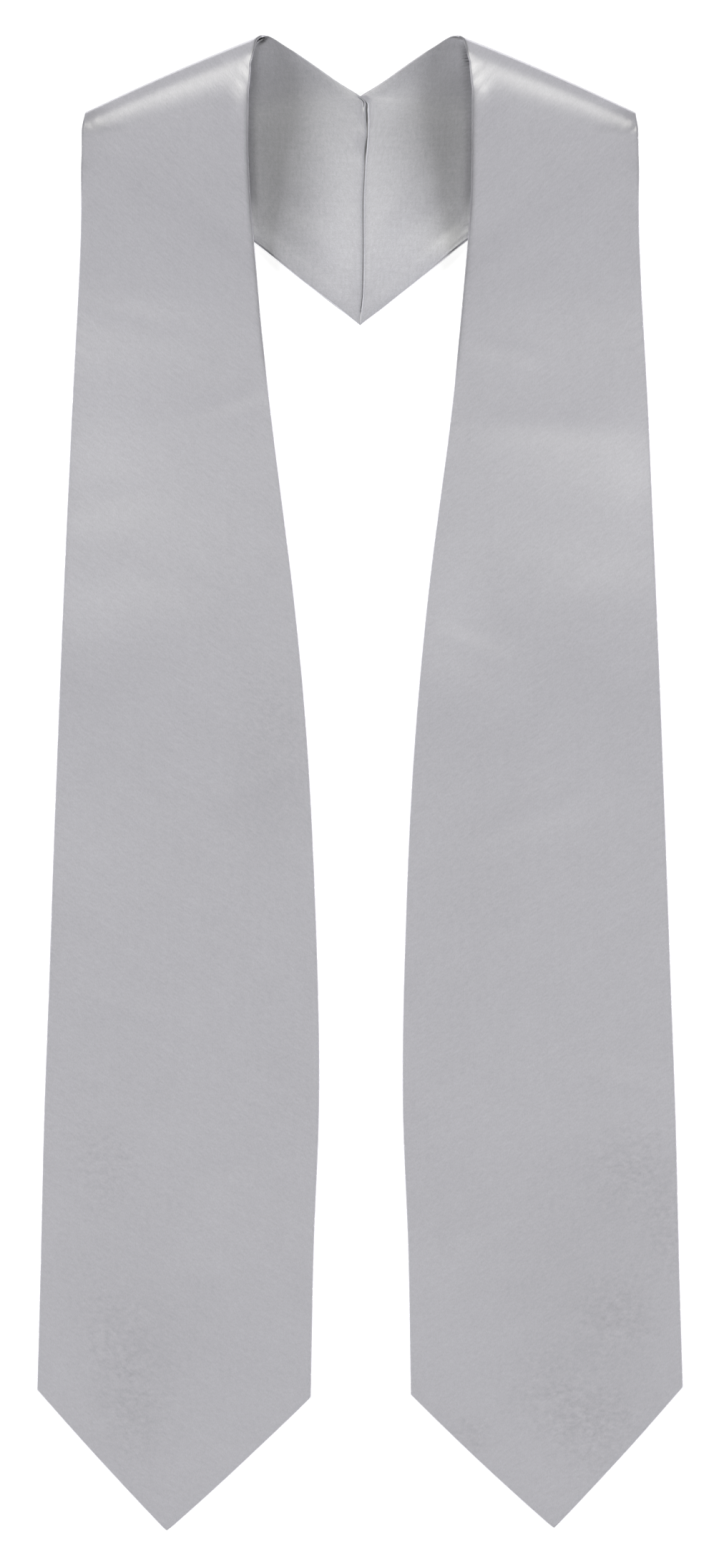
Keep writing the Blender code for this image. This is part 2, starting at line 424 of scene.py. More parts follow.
# %% The seam's line and depth
SEAM_DRIFT = (
    # down the seam, to the right of the centre line
    (0, 0.0),
    (1, 0.4),
    (3, 2.9),
    (8, 3.6),
    (16, 3.85),
    (21, 3.8),
    (27, 3.35),
    (35, 2.6),
    (42, 2.3),
    (54, 1.7),
    (66, 1.6),
    (80, 1.7),
    (95, 1.55),
    (108, 1.1),
    (118, 0.0),
    (123, -0.2),
)
SEAM_DEPTH = (
    # down the seam, depth of the groove
    (0, 0.05),
    (3, 0.7),
    (6, 0.85),
    (14, 0.9),
    (21, 0.5),
    (28, 0.9),
    (38, 0.5),
    (46, 0.45),
    (56, 0.5),
    (66, 0.45),
    (78, 0.45),
    (92, 0.5),
    (108, 0.5),
    (119, 0.4),
    (123, 0.2),
)
DRIFT_REACH = 30 * MM
FACE_DRIFT = 0.3  # the face's own seam lies nearer the centre line, under the lining
SEAM_CLEARANCE = (0.05 * MM, 0.12 * MM)  # half of the gap at a flat stretch, and at a deep one
GROOVE_WIDTH = {"left": 1.0 * MM, "right": 0.5 * MM}
SHOULDER_WIDTH = {"left": 4.5 * MM, "right": 1.5 * MM}
SHOULDER_SHARE = {"left": 0.5, "right": 0.2}


def seam_depth(down):
    return np.maximum(curve_through(SEAM_DEPTH, down - NOTCH_DROP), 0)


def shift_to_seam(surface, half, side):
    """Moves the grid near the centre line sideways, so that the halves meet on the wandering seam."""
    out = -surface[..., 0]
    down = LENGTH / 2 - surface[..., 1]
    drift = curve_through(SEAM_DRIFT, down - NOTCH_DROP) * (1 if side < 0 else FACE_DRIFT)
    near = blend(1 - out / DRIFT_REACH) * (turns <= -1)
    gap = SEAM_CLEARANCE[0] + SEAM_CLEARANCE[1] * seam_depth(down) / MM * (side < 0)
    sign = 1 if half == "left" else -1
    surface[..., 0] += (sign * drift - gap) * near
    return surface


def seam_groove(grid, half):
    """How deep the lining lies in the groove, from its distance to the seam."""
    away = np.abs(grid["out"] - grid["out"][:1])
    narrow = np.exp(-(away / GROOVE_WIDTH[half]) ** 2)
    wide = np.exp(-(away / SHOULDER_WIDTH[half]) ** 2)
    on_back = grid["turn"] <= -1
    share = SHOULDER_SHARE[half]
    return -((1 - share) * narrow + share * wide) * seam_depth(grid["down"]) * on_back


print(f"the seam's groove is up to {max(depth for _, depth in SEAM_DEPTH)} mm deep")

# %% [markdown]
# ## Small folds
# These are millimetre details on the outer side of a layer, so they are kept apart from the humps. Most
# are tension lines: short soft troughs that fan from the shoulder roll, and a tuck where the back's lower
# corner meets the front panel. The two halves differ, as hand-turned cloth does.

# %% Tables of small folds
FRONT_FOLDS = {
    "left": (
        # out, down, degrees from straight across, half length, half width, height
        (139, 58, 2, 15, 2.6, -0.06),
        (143, 71, -4, 13, 3.2, -0.05),
        (66, 40, 0, 8, 11.0, 0.9),
        (120, 62, -18, 20, 4.0, -0.14),
        (62, 54, 4, 6, 2.0, -0.16),
        (63, 68, -6, 7, 2.2, -0.20),
        (61, 83, 3, 6, 1.8, -0.15),
        (96, 104, 24, 26, 5.0, 0.14),
        (118, 150, -12, 30, 6.0, 0.16),
        (70, 196, 20, 26, 5.0, -0.14),
        (132, 238, 8, 30, 7.0, 0.06),
        (90, 300, -20, 36, 8.0, -0.06),
        (58, 402, 28, 30, 6.0, 0.16),
        (130, 520, -16, 34, 7.0, 0.16),
        (60, 604, 18, 30, 6.0, -0.16),
        (118, 690, 30, 26, 6.0, 0.16),
    ),
    "right": (
        (142, 59, -2, 14, 2.8, -0.06),
        (144, 70, 5, 16, 3.0, -0.06),
        (67, 38, 0, 8, 11.0, 0.8),
        (112, 60, 16, 22, 4.4, -0.14),
        (63, 60, -5, 7, 2.2, -0.20),
        (62, 76, 4, 6, 2.0, -0.16),
        (102, 118, -22, 28, 5.0, 0.14),
        (76, 168, 14, 26, 5.0, -0.14),
        (110, 209, 2, 46, 8.0, -0.16),
        (134, 296, -14, 30, 8.0, 0.05),
        (66, 330, 24, 26, 5.0, 0.18),
        (96, 418, -18, 34, 6.0, -0.14),
        (140, 560, 14, 28, 7.0, 0.18),
        (58, 640, -24, 28, 6.0, -0.16),
        (128, 700, 20, 26, 6.0, 0.16),
    ),
}
BACK_FOLDS = {
    "left": (
        (57.0, 106.5, 86, 4.6, 1.0, 0.14),
        (57.2, 102.2, 28, 2.2, 0.7, -0.14),
        (53.2, 3.3, 40, 3.4, 0.8, -0.80),
        (34, 92, -52, 12, 5.0, -0.06),
        (24, 108, -38, 14, 6.0, 0.06),
        (42, 74, -70, 14, 6.0, 0.05),
        (20, 64, -80, 16, 6.0, 0.05),
        (12, 120, 60, 12, 5.0, -0.05),
    ),
    "right": (
        (57.0, 106.8, 92, 4.2, 1.0, 0.08),
        (57.0, 102.6, 24, 2.2, 0.7, -0.08),
        (38, 96, -46, 12, 5.0, -0.07),
        (28, 100, -60, 12, 5.0, -0.05),
        (26, 74, -76, 16, 6.0, 0.05),
        (15, 96, -66, 14, 6.0, 0.05),
        (14, 132, 54, 10, 5.0, -0.05),
        (50, 119, -10, 14, 11.0, 0.6),
    ),
}
print("small folds:", sum(map(len, (*FRONT_FOLDS.values(), *BACK_FOLDS.values()))))

# %% [markdown]
# ### Two folds that follow a line
# Most small folds have a place, but two follow a line, so each of them gets a function: the soft valley
# where the lining runs in under the front panel's neck edge, and the short pucker beside the top of the
# seam.

# %% The valley and the pucker
VALLEY_DEPTH = {"left": 0.48 * MM, "right": 0.38 * MM}
VALLEY_WIDTH = 2.7 * MM
VALLEY_SET = 0.9 * MM  # its lowest line lies this far under the panel
VALLEY_SPAN = (12, 26, 84, 100)  # down, in millimetres: it starts, is full, is still full, ends
SEAM_PUCKER = (1.9 * MM, 0.45 * MM, 0.65 * MM)  # away from the seam, half width, depth
PUCKER_DOWN = (0.5 * MM, 8.5 * MM)
PUCKER_SKEW = 0.6  # under 1, its deepest place is nearer its upper end
ROLL_TURNS = (0.1, 0.25, 0.45, 0.7, 1.0)  # where the neck edge is read on the roll


def beside_neck_edge(grid):
    """Distance in plan from the front panel's neck edge, positive under the panel."""
    roll = [edges_on_roll(turn)[0] for turn in ROLL_TURNS]
    line = [((LENGTH / 2 - y) / MM, -x / MM) for x, y in roll] + list(NECK_EDGE)
    return grid["out"] - curve_through(line, grid["down"])


def between(value, start, full, still, end):
    """1 between full and still, fading to 0 at start and end."""
    return blend((value - start) / (full - start)) * blend((end - value) / (end - still))


def neck_valley(grid, half):
    across = (beside_neck_edge(grid) - VALLEY_SET) / VALLEY_WIDTH
    return -VALLEY_DEPTH[half] * np.exp(-across * across) * between(grid["down"] / MM, *VALLEY_SPAN)


def seam_pucker(grid):
    """The short pucker at the top of the left lining, beside the seam."""
    away = np.abs(grid["out"] - grid["out"][:1])
    down = grid["down"] - NOTCH_DROP
    share = np.clip((down - PUCKER_DOWN[0]) / (PUCKER_DOWN[1] - PUCKER_DOWN[0]), 0, 1)
    line = np.exp(-((away - SEAM_PUCKER[0]) / SEAM_PUCKER[1]) ** 2)
    return -SEAM_PUCKER[2] * line * np.sin(math.pi * share ** PUCKER_SKEW) * (grid["turn"] <= -1)


print(f"pucker: {SEAM_PUCKER[2] / MM:.2f} mm deep")

# %% [markdown]
# ### Ripples
# Turning and pressing draws the satin in along a seam, and it answers with small uneven waves across the
# edge, strongest a little below the shoulder. A plain cosine would look like a machine's work, so two
# longer waves push it out of step, and squaring it makes the troughs narrow.

# %% Ripples along the sewn edges
RIPPLE_LENGTH = 7.6 * MM
RIPPLE_REACH = 7.0 * MM
SLOW_DRIFT = (0.35, 23 * MM)  # waves out of step, and the length of one radian of the drift
QUICK_DRIFT = (0.20, 9 * MM)
RIPPLE_START = {"left": 0.4, "right": 2.3}  # where in its wave the neck edge starts
OUTER_LATER = 1.7  # the outer edge starts this much later
RIPPLES = {
    # down, millimetres deep
    "neck": (
        (0, 0.02), (46, 0.10), (80, 0.09), (108, 0.16),
        (150, 0.24), (178, 0.12), (240, 0.05), (760, 0.04),
    ),
    "outer": ((0, 0.02), (56, 0.10), (100, 0.12), (180, 0.10), (240, 0.05), (760, 0.05)),
}


def ripple(along, start):
    """Uneven waves along an edge, from 0 to 1, with narrow troughs."""
    slow = SLOW_DRIFT[0] * np.sin(along / SLOW_DRIFT[1] + start)
    quick = QUICK_DRIFT[0] * np.sin(along / QUICK_DRIFT[1])
    phase = along / RIPPLE_LENGTH + slow + quick
    return (0.5 + 0.5 * np.cos(2 * math.pi * phase + start)) ** 2


def edge_ripples(grid, half):
    first = RIPPLE_START[half]
    depth = 0
    for edge, start in (("neck", first), ("outer", first + OUTER_LATER)):
        strength = curve_through(RIPPLES[edge], grid["down"])
        fading = np.exp(-grid[edge] / RIPPLE_REACH)
        depth = depth - strength * fading * ripple(grid["along"], start)
    return depth


print(f"ripples: a wave every {RIPPLE_LENGTH / MM:.1f} mm")

# %% [markdown]
# ## Sewn edges
# Face and lining are sewn right sides together, turned out and pressed. So each edge is a narrow rounded
# fold, and the seam allowance inside lifts the satin beside it a little. A Bevel modifier could round the
# edge too, but the grid's columns already crowd there, so a quarter circle in the height is enough.

# %% Pulled-in edges
EDGE_ROUND = 0.9 * MM  # the layer curves down to the seam over this width
ALLOWANCE = (1.6 * MM, 7.5 * MM)  # from the edge to where the turned-in allowance starts and ends
ALLOWANCE_SLOPES = (2 * MM, 3 * MM)  # over which it rises and sinks
ALLOWANCE_RISE = 0.03 * MM


def rounded(distance):
    """0 at a sewn edge, rising like a quarter circle to 1."""
    left = 1 - np.clip(distance / EDGE_ROUND, 0, 1)
    return np.sqrt(1 - left * left)


def allowance(grid):
    near = np.minimum(np.minimum(grid["neck"], grid["outer"]), grid["end"])
    inside, past = (blend((near - place) / slope) for place, slope in zip(ALLOWANCE, ALLOWANCE_SLOPES))
    return ALLOWANCE_RISE * inside * (1 - past)


def fullness(grid):
    return rounded(grid["neck"]) * rounded(grid["outer"]) * rounded(grid["end"])


print(f"edges: rounded over {EDGE_ROUND / MM:.1f} mm")

# %% [markdown]
# ## The neck corners
# Where the shoulder is folded over, the sewn neck edge is bent hard and its two layers come apart a
# little. On the left a short dark slit shows there, and on the right a smaller one. Just below it the
# edge is nicked. A hole could be cut with a Boolean, but the cloth isn't torn: moving the two layers
# apart gives a real gap with the turned edge as its lip.

# %% The mouth at the neck corner
MOUTH = {
    # turn of the roll at its middle, half of its length as a turn, opening
    "left": (0.06, 0.24, 0.64 * MM),
    "right": (0.42, 0.10, 0.35 * MM),
}
MOUTH_REACH = 3.5 * MM
MOUTH_ENDS = 2.0  # how quickly it closes at its ends
NICK = {
    # down, half length, depth
    "left": (16.2 * MM, 1.5 * MM, 0.45 * MM),
    "right": (15.0 * MM, 1.8 * MM, 0.35 * MM),
}
NICK_REACH = 2 * MM
NICK_FROM = 0.3  # turn of the roll from which the edge may be nicked


def mouth(grid, half):
    """How far the layers stand off the seam where the edge gapes."""
    middle, span, opening = MOUTH[half]
    near = np.exp(-MOUTH_ENDS * ((grid["turn"] - middle) / span) ** 2)
    return opening * near * np.exp(-(grid["neck"] / MOUTH_REACH) ** 2)


def pinch_edge(surface, grid, half):
    """Pulls a short stretch of the neck edge outwards from the centre line, where the cloth is nicked."""
    down, half_length, depth = NICK[half]
    near = np.exp(-((grid["down"] - down) / half_length) ** 2) * np.exp(-grid["neck"] / NICK_REACH)
    surface[..., 0] -= depth * near * (grid["turn"] > NICK_FROM)
    return surface


print("mouths open by, mm:", {half: row[2] / MM for half, row in MOUTH.items()})

# %% [markdown]
# ## Uneven edges
# Hand-turned edges are never quite straight, nor alike on both halves. Each row says how far an edge is
# out of the pattern's line at one place, in millimetres, and a smooth curve runs through the rows. The
# error fades out towards the middle of the cloth, so no row of the grid is bent sharply.

# %% The edges' small errors
PANEL_NUDGES = {
    "left": (
        # down, neck edge outwards, outer edge outwards
        (2, 0.1, 0),
        (15, 0.9, 0),
        (27, 0.1, 0),
        (36, 0, -0.1),
        (44, 0, 0.3),
        (50, 0, 1.1),
        (64, 0, 0.3),
        (80, -0.3, -0.3),
        (110, -0.65, 0.1),
        (157, -0.4, 0.5),
        (195, -0.75, 0.45),
        (272, -0.45, 0.5),
        (348, -0.8, 0.3),
        (425, -0.7, 0.15),
        (505, -0.9, -0.2),
        (578, -0.65, 0),
        (655, -0.55, -0.3),
        (730, -0.5, -0.2),
    ),
    "right": (
        (2, 0.1, 0),
        (15, 0.75, 0),
        (27, 0.25, 0),
        (36, -0.1, -0.1),
        (44, -0.3, 0),
        (50, -0.4, 0.7),
        (64, -0.45, 0),
        (80, -0.25, -0.7),
        (110, -0.15, -0.3),
        (157, 0, 0.1),
        (272, 0, 0),
        (348, -0.2, -0.2),
        (425, -0.2, -0.45),
        (505, -0.25, -0.65),
        (578, 0, -0.5),
        (655, 0.1, -0.8),
        (730, 0, -0.5),
    ),
}
BACK_NUDGES = {
    "left": (
        # out, neck edge upwards, lower edge downwards
        (0, -0.5, 0.7),
        (7, -0.8, 0.75),
        (12, -0.8, 0.85),
        (20, -0.25, 0.9),
        (26, 0.2, 0.85),
        (34, 0.5, 0.8),
        (40, 0.4, 0.5),
        (46, 0.5, 0.1),
        (50, 0.2, 0),
        (56, 0, 0),
    ),
    "right": (
        (0, -0.5, 0.7),
        (7, -0.8, 0.7),
        (12, -0.75, 0.6),
        (20, -0.15, 0.4),
        (26, 0.3, 0.55),
        (34, 0.6, 0.45),
        (40, 0.5, 0.3),
        (46, 0.6, -0.1),
        (50, 0.3, -0.35),
        (56, 0, -0.4),
    ),
}
END_NUDGE = {"left": 0.5 * MM, "right": -0.95 * MM}  # the slanted ends, downwards
PANEL_REACH, BACK_REACH, END_REACH = 45 * MM, 25 * MM, 100 * MM
PANEL_FULL, BACK_FULL = 0.5, 0.3  # turns of the roll by which the errors are at full size


def nudge_edges(surface, grid, half):
    """Moves the edges in plan by their own small errors, fading out into the cloth."""
    on_front = blend(grid["turn"] / PANEL_FULL)
    on_back = blend(-grid["turn"] / BACK_FULL)
    panel, back = (np.array(table[half]) for table in (PANEL_NUDGES, BACK_NUDGES))
    for edge, column, sign in (("neck", 1, 1), ("outer", 2, -1)):
        error = curve_through(panel[:, [0, column]], grid["down"])
        surface[..., 0] -= error * blend(1 - grid[edge] / PANEL_REACH) * on_front
        error = curve_through(back[:, [0, column]], grid["out"])
        surface[..., 1] += sign * error * blend(1 - grid[edge] / BACK_REACH) * on_back
    surface[..., 1] -= END_NUDGE[half] * blend(1 - grid["end"] / END_REACH) * on_front
    return surface


print("left edges off by up to, mm:", np.abs(PANEL_NUDGES["left"]).max(axis=0)[1:])

# %% [markdown]
# ## One layer as a closed shell
# A layer's outer side follows the solid: it stands off the middle surface, curves down to the seam at
# every edge and carries the small folds. Its inner side lies one wall thickness below. Both sides and the
# narrow strip round the edge make one closed mesh, which suits a piece that is printed or weighed as well
# as seen.
#
# The mesh also gets a UV map in metres, measured on the cloth, so that the weave later runs along the
# band.

# %% Outer and inner side
FRONT_FULL = 0.25  # by this turn of the roll the front's folds have replaced the back's
FOLLOWS = 0.6  # how much of the front's folds the lining under it follows
OPEN_INSIDE = 0.5  # away from its edge a mouth is this much less open
LINING_LIP = 0.8  # at its edge the lining stands off by this much of the opening again


def sides_of(grid, half, side):
    """Distances of a layer's outer and inner side from the middle surface."""
    on_front = blend(grid["turn"] / FRONT_FULL)
    shown = on_front if side > 0 else 1 - on_front
    groove = seam_groove(grid, half)
    front = folds(FRONT_FOLDS[half], grid["out"], grid["down"]) + edge_ripples(grid, half)
    back = folds(BACK_FOLDS[half], grid["out"], grid["down"]) + groove + neck_valley(grid, half)
    if half == "left":
        back = back + seam_pucker(grid)
    relief = front * on_front + back * (1 - on_front)
    hidden = np.minimum(-FOLLOWS * front, 0) * on_front + np.minimum(groove, 0) * (1 - on_front)
    full = fullness(grid)
    pressed = PLY_OUT + (allowance(grid) + relief) * shown + hidden * (1 - shown)
    opened = mouth(grid, half)
    outer = SEAM_OUT + (pressed - SEAM_OUT) * full + opened * (1 - OPEN_INSIDE * full)
    if side > 0:
        inner = np.maximum(outer - WALL - opened, SEAM_IN)
    else:
        outer = outer + LINING_LIP * opened * (1 - full)
        inner = np.maximum(outer - WALL, SEAM_IN + (1 + LINING_LIP) * opened)
    return outer, inner


left_outer, left_inner = sides_of(measure_grid(left_middle), "left", 1)
print(f"the left face is {np.median(left_outer - left_inner) / MM:.2f} mm thick")

# %% [markdown]
# ## Painted shade along the edges
# Near the shoulder the satin lies in shade along its turned-under edges, and this shade is painted into
# its colour as darker strips. The same strips paint shade over the rims that would catch the side
# lights, and over the end of the shoulder highlight by the outer corner. The lining gets painted shade
# where it runs in under the front panel, and along its own edge at the neck corner. Each strip is a row
# of a table, and its darkness is written on the mesh as a number at every point, which the finish reads.
# Being painted, it looks the same from every side.

# %% Strips
# Each row paints shade into the face's colour along one of its edges.
PAINTED_SHADE_STRIPS = (
    # edge; down: starts, full, still full, ends; how much darker at the edge; how far it reaches
    ("neck", -1, 1, 9, 13, 0.65, 1.1 * MM),
    ("neck", 24, 36, 92, 108, 0.36, 1.9 * MM),
    ("neck", 92, 108, 165, 190, 0.17, 2.2 * MM),
    ("neck", 4, 14, 104, 116, 0.50, 0.7 * MM),
    ("neck", 104, 116, 170, 190, 0.35, 0.8 * MM),
    ("outer", 36, 43, 49, 55, 0.20, 17.0 * MM),
    ("outer", 44, 50, 68, 84, 0.06, 12.0 * MM),
    ("outer", 40, 45, 75, 92, 0.45, 0.8 * MM),
)
# The lining's two strips of painted shade have the same columns, without the edge.
# Painted shade on the lining: beside the front panel's neck edge, and along its own edge at the neck
# corner.
CONTACT_SHADE = (2, 10, 78, 106, 0.28, 2.2 * MM)  # beside the front panel's neck edge
CORNER_SHADE = (-1, 0, 7, 12, 0.5, 0.9 * MM)  # along its own edge at the neck corner


def darker(down, strip, distance):
    """How much darker one strip makes the satin, fading with the distance from its edge."""
    *span, dark, reach = strip
    return dark * between(down, *span) * np.exp(-(distance / reach) ** 2)


def strip_light(grid, side):
    """The share of its tone that the satin keeps under the painted shade near the edges."""
    down = grid["down"] / MM
    if side < 0:
        under = np.maximum(-beside_neck_edge(grid), 0)
        contact = darker(down, CONTACT_SHADE, under) * (grid["turn"] < 0)
        return (1 - contact) * (1 - darker(down, CORNER_SHADE, grid["neck"]))
    light = 1
    for edge, *strip in PAINTED_SHADE_STRIPS:
        light = light * (1 - darker(down, strip, grid[edge]))
    return np.where(grid["turn"] > 0, light, 1)


print("face strips:", len(PAINTED_SHADE_STRIPS))

# %% [markdown]
# ## Painted light and shade
# In places the satin is painted a little darker or lighter, over a few millimetres or a hand's width,
# where light and shade fall on it: painted shade on the lining beside the raised panels and in the slits
# at the neck corners, painted light on the lining's lower corners where they lie in the panels' shadow,
# and lighter and darker patches on both layers where light meets their gentle slopes, with painted
# highlight on the shoulder rolls beside the neck edges. Such a place has the same columns as a fold,
# with a share of darkness instead of a height, so the same function adds the places up. Below zero, it
# is lighter.

# %% Darker and lighter places
# Painted light and shade: each row darkens the satin's colour, or lightens it below zero.
PAINTED_LIGHT_AND_SHADE = {
    "face_left": (
        # out, down, degrees from straight across, half length, half width, how much darker
        (135, 210, 0, 30, 48, -0.06),
        (145, 305, 0, 24, 18, -0.03),
        (50, 390, 0, 26, 60, 0.045),
        (115, 700, 0, 24, 45, 0.035),
        (150, 430, 0, 20, 20, -0.02),
        (65, 43, 0, 6, 5, -0.05),
        (69.5, 13.5, 0, 5, 2.5, -0.06),
    ),
    "face_right": (
        (146, 232, 0, 16, 38, -0.06),
        (120, 250, 0, 60, 36, -0.01),
        (50, 302, 0, 14, 26, -0.05),
        (70, 435, 0, 36, 45, 0.03),
        (125, 665, 0, 40, 75, 0.04),
        (65, 31, 0, 6, 6, -0.05),
    ),
    "lining_left": (
        (35, 84, 0, 14, 48, 0.17),
        (51, 55, 0, 9, 20, 0.10),
        (50, 112, 0, 7, 9, -0.20),
        (10, 113, 0, 12, 26, -0.08),
        (51, 0, 0, 12, 2.2, 0.25),
        (52, 3, 0, 12, 5, 0.12),
        (53.2, 3.2, 40, 3.3, 0.9, 0.60),
        (43, 84, 78, 16, 4.5, -0.03),
    ),
    "lining_right": (
        (47, 54, 0, 10, 24, 0.15),
        (29, 59, 0, 10, 16, 0.06),
        (25, 30, -28, 22, 9, -0.15),
        (22, 115, 0, 24, 24, -0.10),
        (51, 0, 0, 12, 2.2, 0.13),
        (52, 3, 0, 12, 5, 0.12),
        (56.6, 10.5, 84, 6.5, 0.9, 0.40),
        (50, 114, -39, 9, 1.3, -0.28),
        (57.4, 13.8, 78, 3.2, 0.8, 0.45),
        (44.5, 88, 79, 18, 3.5, -0.04),
        (38, 108, 0, 8, 9, 0.025),
        (28, 131, -28, 26, 4, -0.03),
    ),
}


def shade_of(name, grid, side):
    """How much the painted shade, and the painted light below zero, darken the satin's own tone at each
    point.
    """
    shown = grid["turn"] > 0 if side > 0 else grid["turn"] < 0
    painted = folds(PAINTED_LIGHT_AND_SHADE[name], grid["out"], grid["down"]) / MM
    return 1 - strip_light(grid, side) * (1 - painted * shown)


print("uneven places:", {name: len(table) for name, table in PAINTED_LIGHT_AND_SHADE.items()})

# %% [markdown]
# ## From grids to a mesh
# A layer is now two grids of points with the same rows and columns. Quads join the neighbours in each
# grid, and a band of quads joins the two rims. Blender takes the side from which a face's corners run
# anticlockwise as its front, so the inner grid's quads are turned over, and the right half's too, because
# it is mirrored.

# %% From grid to closed mesh
def shell_mesh(name, outer, inner, grid, shade, flipped):
    """A closed mesh from two grids of points, with the cloth's own UV map and its painted shade at each
    point.
    """
    rows_here, columns = outer.shape[:2]
    count = rows_here * columns
    index = np.arange(count).reshape(rows_here, columns)
    corner_grids = [index[:-1, :-1], index[:-1, 1:], index[1:, 1:], index[1:, :-1]]
    quads = np.stack(corner_grids, axis=-1).reshape(-1, 4)
    rim = np.concatenate([index[0, :-1], index[:-1, -1], index[-1, :0:-1], index[:0:-1, 0]])
    onward = np.roll(rim, -1)
    band = np.stack([onward, rim, rim + count, onward + count], axis=-1)
    corners = np.concatenate([quads, quads[:, ::-1] + count, band])
    if flipped:
        corners = corners[:, ::-1]
    mesh = bpy.data.meshes.new(name)
    points = np.concatenate([outer.reshape(-1, 3), inner.reshape(-1, 3)])
    mesh.from_pydata(points.tolist(), [], corners.tolist())
    flat = np.stack([grid["neck"] - grid["neck"][:, -1:] / 2, grid["along"]], axis=-1).reshape(-1, 2)
    used = np.empty(len(mesh.loops), int)
    mesh.loops.foreach_get("vertex_index", used)
    mesh.uv_layers.new(name="cloth").data.foreach_set("uv", flat[used % count].ravel())
    shades = np.tile(shade.ravel(), 2).astype(np.float32)
    mesh.attributes.new("shade", "FLOAT", "POINT").data.foreach_set("value", shades)
    mesh.shade_smooth()
    return mesh


# %% One layer
def make_layer(layer_name, half, side):
    """One layer of one half. side is 1 for the face and -1 for the lining."""
    name = f"{layer_name}_cloth"
    surface = shift_to_seam(middle_surface(half), half, side)
    surface = nudge_edges(surface, measure_grid(surface), half)
    surface = pinch_edge(surface, measure_grid(surface), half)
    grid = measure_grid(surface)
    normals = normals_of(surface) * side
    outer, inner = (surface + normals * away[..., None] for away in sides_of(grid, half, side))
    for points in (outer, inner):
        if half == "right":
            points[..., 0] *= -1
    flipped = (side < 0) != (half == "right")
    shade = shade_of(layer_name, grid, side)
    layer = bpy.data.objects.new(name, shell_mesh(name, outer, inner, grid, shade, flipped))
    bpy.context.scene.collection.objects.link(layer)
    at_fold = grid["neck"][BACK_ROWS + ROLL_ROWS, -1]
    print(f"{name}: {grid['along'].max() / MM:.0f} mm long, {at_fold / MM:.1f} mm along its fold")
    return layer

# %% [markdown]
# ## Shader maths in Python
# A finish is easier to read as an expression than as a web of nodes. This class stands for one output of
# a node: arithmetic on it adds Math nodes, and `of` makes any other node from its kind, its settings and
# what goes into its sockets. Colours are mixed with a Mix node, because a Math node would turn them grey.

# %% A socket with operators
class Socket:
    """One output of a node, which adds Math nodes when it is used in an expression."""

    def __init__(self, tree, link):
        self.tree = tree
        self.link = link

    @classmethod
    def of(cls, tree, kind, settings=None, values=None, output=0):
        """Adds a node: first its settings, then a value or a link for each named socket."""
        node = tree.nodes.new(kind)
        for name, value in (settings or {}).items():
            setattr(node, name, value)
        for name, value in (values or {}).items():
            if isinstance(value, Socket):
                tree.links.new(value.link, node.inputs[name])
            else:
                node.inputs[name].default_value = value
        return cls(tree, node.outputs[output])

    def math(self, operation, *values):
        return self.of(self.tree, "ShaderNodeMath", {"operation": operation}, dict(enumerate(values)))

    def __add__(self, other):
        return self.math("ADD", self, other)

    def __sub__(self, other):
        return self.math("SUBTRACT", self, other)

    def __rsub__(self, other):
        return self.math("SUBTRACT", other, self)

    def __mul__(self, other):
        return self.math("MULTIPLY", self, other)

    __radd__ = __add__
    __rmul__ = __mul__

# %% [markdown]
# ## Satin
# Satin shines because its threads float over several others before they dive. The floats run along the
# band, so the grain is fine noise stretched that way, far below a millimetre wide. It colours the cloth a
# little, changes its gloss a little, and lifts it by hundredths of a millimetre. On top of it come slow
# changes of tone over a hand's width, and the few faintly mottled places where the backing has been
# creased.

# %% Grain and tone
FLOAT_SIZE = (0.7 * MM, 1.1 * MM)  # a bundle of floating threads: across, along
SLUB_SIZE = (3.0 * MM, 2.2 * MM)  # slower unevenness of the yarn
STREAK_SIZE = (9.0 * MM, 20.0 * MM)  # where the warp was wound a little tighter
BAR_SIZE = (34.0 * MM, 5.0 * MM)  # where the weft was beaten in a little closer
CLOUD_SIZE = 70 * MM
CRINKLE_SIZE = (11.0 * MM, 1.7 * MM)  # creases of the thin lining, straight across the stole
MOTTLE_SIZE = (3.6 * MM, 2.52 * MM)  # where the backing has been creased


def vector(tree, operation, *values, output=0):
    """Adds a Vector Math node."""
    kind = "ShaderNodeVectorMath"
    return Socket.of(tree, kind, {"operation": operation}, dict(enumerate(values)), output)


def noise(tree, point, size, detail=2.0):
    """Noise from 0 to 1, with grains of a size across and along."""
    scaled = vector(tree, "MULTIPLY", point, (1 / size[0], 1 / size[1], 1 / size[0]))
    return Socket.of(tree, "ShaderNodeTexNoise", None, {"Vector": scaled, "Scale": 1.0, "Detail": detail})


def patch(tree, place, centre, radii):
    """A soft round patch on the cloth: 1 in its middle, 0 outside. Centre and radii are in plan."""
    moved = vector(tree, "SUBTRACT", place, (*centre, 0))
    scaled = vector(tree, "MULTIPLY", moved, (1 / radii[0], 1 / radii[1], 0))
    away = vector(tree, "LENGTH", scaled, output="Value")
    return Socket.of(
        tree,
        "ShaderNodeMapRange",
        {"interpolation_type": "SMOOTHSTEP"},
        {"Value": away, "From Min": 0.0, "From Max": 1.0, "To Min": 1.0, "To Max": 0.0},
    )


print(f"grain: {FLOAT_SIZE[0] / MM:.1f} mm across, {FLOAT_SIZE[1] / MM:.1f} mm along")

